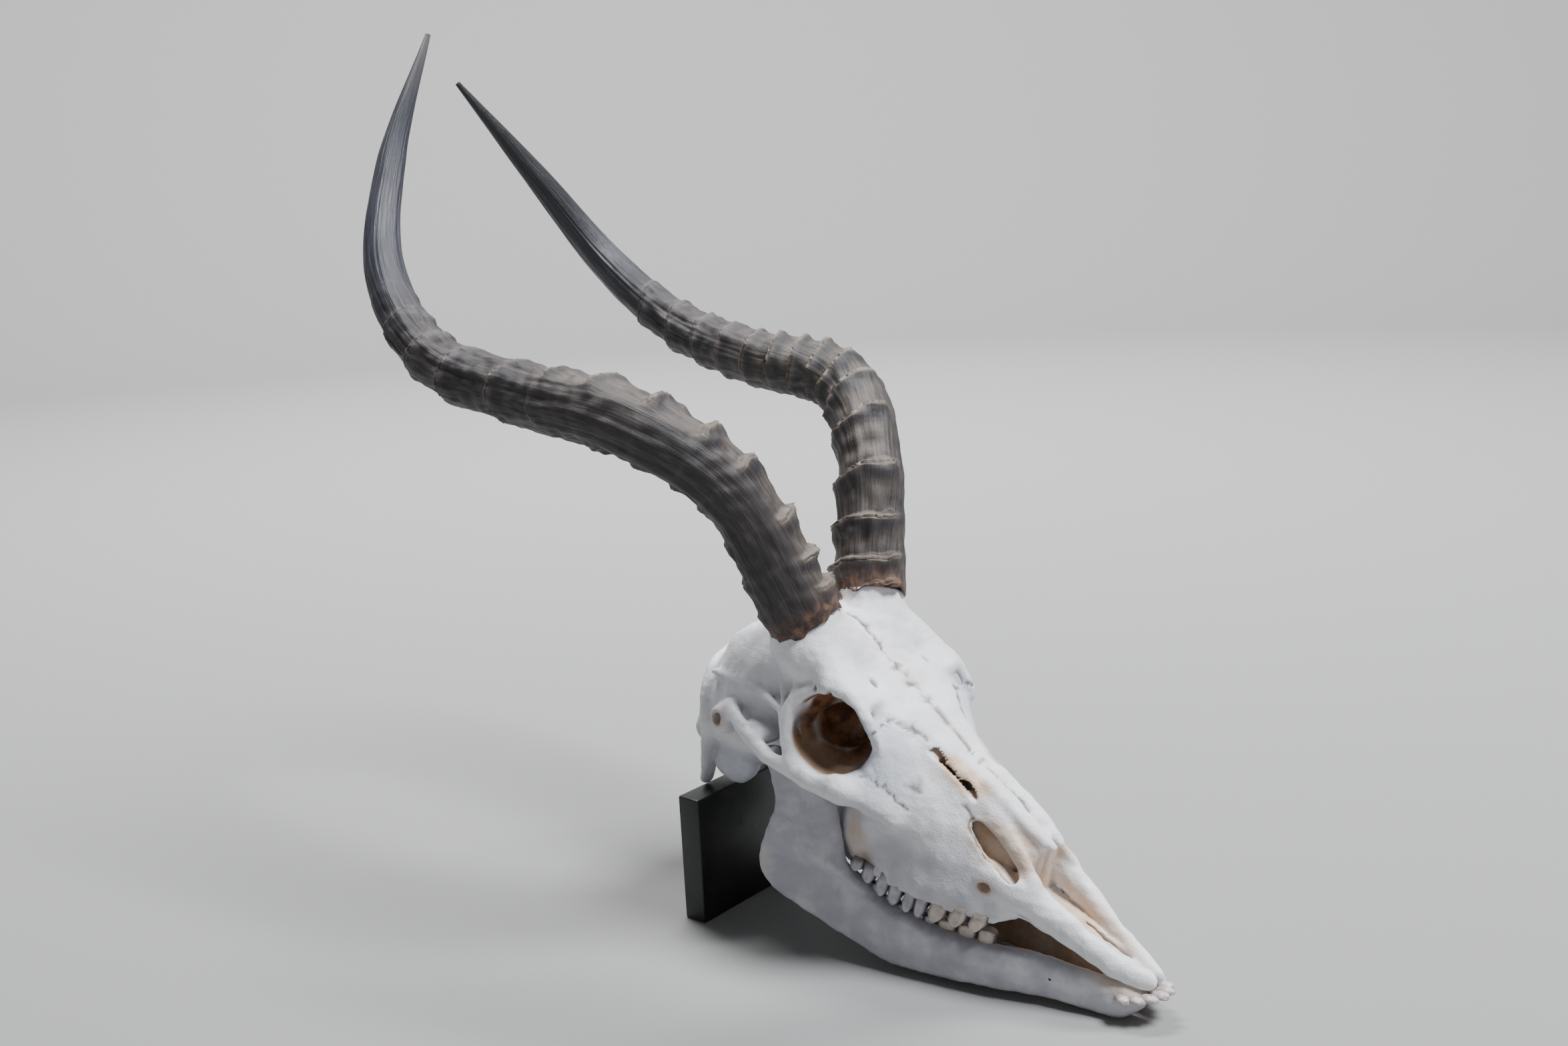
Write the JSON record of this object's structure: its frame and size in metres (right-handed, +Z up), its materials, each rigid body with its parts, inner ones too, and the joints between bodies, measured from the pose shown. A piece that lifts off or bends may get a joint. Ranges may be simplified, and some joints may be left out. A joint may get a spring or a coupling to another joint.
{
  "type": "antelope skull with horns",
  "caption": "Bleached antelope skull with two ringed lyre-shaped horns, loose lower jaw and teeth, propped face down on a small black display block.",
  "frame": {"origin": "middle of the display block's underside, on the surface that the object stands on", "axes": "+Z up, -Y towards the snout, +X towards the animal's left side"},
  "size_m": [0.2136, 0.4652, 0.4789],
  "materials": {
    "horn_keratin": "satin dark brown-grey horn with ridges, standing in for keratin",
    "bone": "matt bleached bone, standing in for bone",
    "tooth": "satin grey-white enamel, standing in for tooth",
    "black_block": "scuffed satin black paint on wood"
  },
  "bodies": {
    "root": {"horn_right": "horn_keratin", "horn_left": "horn_keratin", "cranium": "bone", "lower_jaw_right": "bone", "lower_jaw_left": "bone", "upper_p2_right": "tooth", "upper_p2_left": "tooth", "upper_p3_right": "tooth", "upper_p3_left": "tooth", "upper_p4_right": "tooth", "upper_p4_left": "tooth", "upper_m1_right": "tooth", "upper_m1_left": "tooth", "upper_m2_right": "tooth", "upper_m2_left": "tooth", "upper_m3_right": "tooth", "upper_m3_left": "tooth", "lower_p2_right": "tooth", "lower_p2_left": "tooth", "lower_p3_right": "tooth", "lower_p3_left": "tooth", "lower_p4_right": "tooth", "lower_p4_left": "tooth", "lower_m1_right": "tooth", "lower_m1_left": "tooth", "lower_m2_right": "tooth", "lower_m2_left": "tooth", "lower_m3_right": "tooth", "lower_m3_left": "tooth", "incisor_1_right": "tooth", "incisor_1_left": "tooth", "incisor_2_right": "tooth", "incisor_2_left": "tooth", "incisor_3_right": "tooth", "incisor_3_left": "tooth", "incisor_4_right": "tooth", "incisor_4_left": "tooth", "display_block": "black_block"}
  },
  "joints": []
}
